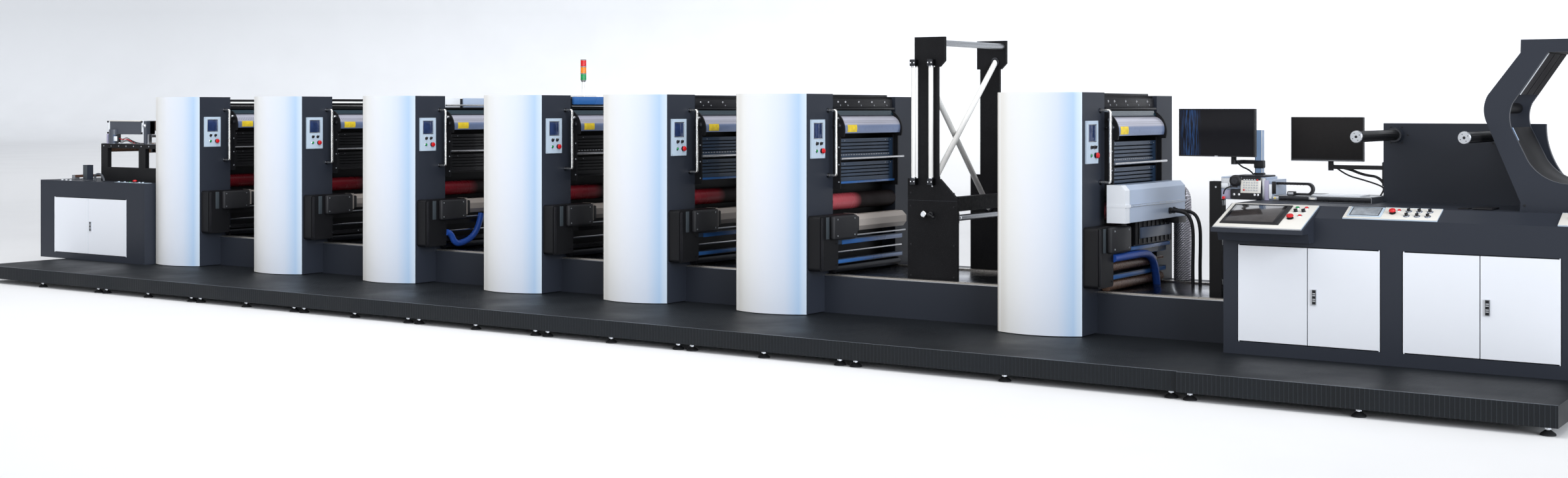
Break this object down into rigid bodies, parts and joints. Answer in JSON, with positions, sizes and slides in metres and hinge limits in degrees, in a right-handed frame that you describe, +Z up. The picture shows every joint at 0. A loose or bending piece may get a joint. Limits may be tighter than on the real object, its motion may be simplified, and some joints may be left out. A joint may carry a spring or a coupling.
{
  "type": "offset label press",
  "caption": "Long inline offset press for web-fed labels: printing towers on one bed, infeed cabinet, web turning frame, inspection and rewind console, walk-on footboard.",
  "frame": {"origin": "on the floor, in the middle of the machine's plan", "axes": "+X along the press from the infeed cabinet to the rewind console, +Y away from the operator, +Z up"},
  "size_m": [16.858, 3.055, 2.53],
  "materials": {
    "dark_paint": "satin blue-grey powder coat",
    "white_paint": "semi-gloss white paint",
    "black_paint": "satin black",
    "tread_plate": "embossed dark tread sheet",
    "rail_steel": "ground steel",
    "bright_chrome": "polished",
    "white_tube": "satin anodised",
    "blue_guard": "dark blue paint",
    "guard_steel": "perforated bright sheet",
    "red_cylinder": "smooth red blanket",
    "beige_beam": "satin",
    "foot_rubber": "matt black",
    "screen": "glossy black",
    "panel_face": "brushed face plate",
    "lamp_lens": "translucent lenses",
    "lamp_case": "silver-blue paint",
    "hose_blue": "smooth blue hose",
    "hose_black": "smooth black cable",
    "duct_skin": "corrugated foil duct"
  },
  "bodies": {
    "frame": {"bed": "dark_paint", "bed_rails": "rail_steel", "cable_chain": "black_paint", "console_cabinet": "dark_paint", "console_control_panels": "panel_face", "console_panel_screens": "screen", "cross_rods": "bright_chrome", "drive_housings": "dark_paint", "footboard": "tread_plate", "footboard_feet": "foot_rubber", "front_covers": "white_paint", "gear_boxes": "black_paint", "grab_handles": "bright_chrome", "guard_end_plates": "black_paint", "infeed_cabinet": "dark_paint", "infeed_frame": "black_paint", "infeed_rollers": "rail_steel", "infeed_upright": "dark_paint", "ink_beams": "beige_beam", "ink_trains": "black_paint", "inspection_head": "lamp_case", "inspection_keypad": "screen", "inspection_post": "black_paint", "lamp_cables": "hose_black", "lamp_cassette": "black_paint", "lamp_duct": "duct_skin", "lower_bars": "blue_guard", "monitor_arms": "black_paint", "monitor_mast": "white_tube", "operator_desk": "dark_paint", "operator_housings": "dark_paint", "overhead_rail": "rail_steel", "printing_cylinders": "red_cylinder", "rewind_backboard": "dark_paint", "roll_guard_plates": "dark_paint", "roll_guard_walls": "dark_paint", "roller_guards": "guard_steel", "signal_lamp": "lamp_lens", "slotted_guards": "blue_guard", "splice_bar": "bright_chrome", "top_boxes": "black_paint", "tower_control_panels": "panel_face", "tower_hoses": "hose_blue", "turning_frame": "black_paint", "turning_frame_bars": "white_tube", "turning_frame_rollers": "bright_chrome", "uv_lamp_box": "lamp_case", "web_guide_box": "lamp_case", "web_table": "panel_face"},
    "infeed_door_left": {"infeed_door_left": "white_paint"},
    "infeed_door_right": {"infeed_door_right": "white_paint"},
    "console_door_1": {"console_door_1": "white_paint"},
    "console_door_2": {"console_door_2": "white_paint"},
    "console_door_3": {"console_door_3": "white_paint"},
    "console_door_4": {"console_door_4": "white_paint"},
    "rewind_shaft_left": {"rewind_shaft_left": "black_paint"},
    "rewind_shaft_right": {"rewind_shaft_right": "black_paint"},
    "monitor_left": {"monitor_left": "screen"},
    "monitor_right": {"monitor_right": "screen"}
  },
  "joints": [
    {"name": "infeed_door_left_hinge", "type": "hinge", "parent": "frame", "child": "infeed_door_left", "pos_m": [-8.148, -0.4585, 0.582], "axis": [0, 0, -1], "range_deg": [0, 100]},
    {"name": "infeed_door_right_hinge", "type": "hinge", "parent": "frame", "child": "infeed_door_right", "pos_m": [-6.79, -0.4585, 0.582], "axis": [0, 0, 1], "range_deg": [0, 100]},
    {"name": "console_door_1_hinge", "type": "hinge", "parent": "frame", "child": "console_door_1", "pos_m": [6.112, -0.4585, 0.625], "axis": [0, 0, -1], "range_deg": [0, 90]},
    {"name": "console_door_2_hinge", "type": "hinge", "parent": "frame", "child": "console_door_2", "pos_m": [7.094, -0.4585, 0.625], "axis": [0, 0, 1], "range_deg": [0, 90]},
    {"name": "console_door_3_hinge", "type": "hinge", "parent": "frame", "child": "console_door_3", "pos_m": [7.257, -0.4585, 0.625], "axis": [0, 0, -1], "range_deg": [0, 90]},
    {"name": "console_door_4_hinge", "type": "hinge", "parent": "frame", "child": "console_door_4", "pos_m": [8.239, -0.4585, 0.625], "axis": [0, 0, 1], "range_deg": [0, 90]},
    {"name": "rewind_shaft_left_turn", "type": "hinge", "parent": "frame", "child": "rewind_shaft_left", "pos_m": [6.939, 0.5375, 1.741], "axis": [0, 1, 0], "continuous": true},
    {"name": "rewind_shaft_right_turn", "type": "hinge", "parent": "frame", "child": "rewind_shaft_right", "pos_m": [7.648, 0.5375, 1.741], "axis": [0, 1, 0], "continuous": true},
    {"name": "monitor_left_pan", "type": "hinge", "parent": "frame", "child": "monitor_left", "pos_m": [5.799, 0.2975, 1.622], "axis": [0, 0, 1], "range_deg": [-25, 25]},
    {"name": "monitor_right_pan", "type": "hinge", "parent": "frame", "child": "monitor_right", "pos_m": [6.441, 0.5975, 1.592], "axis": [0, 0, 1], "range_deg": [-25, 25]}
  ]
}
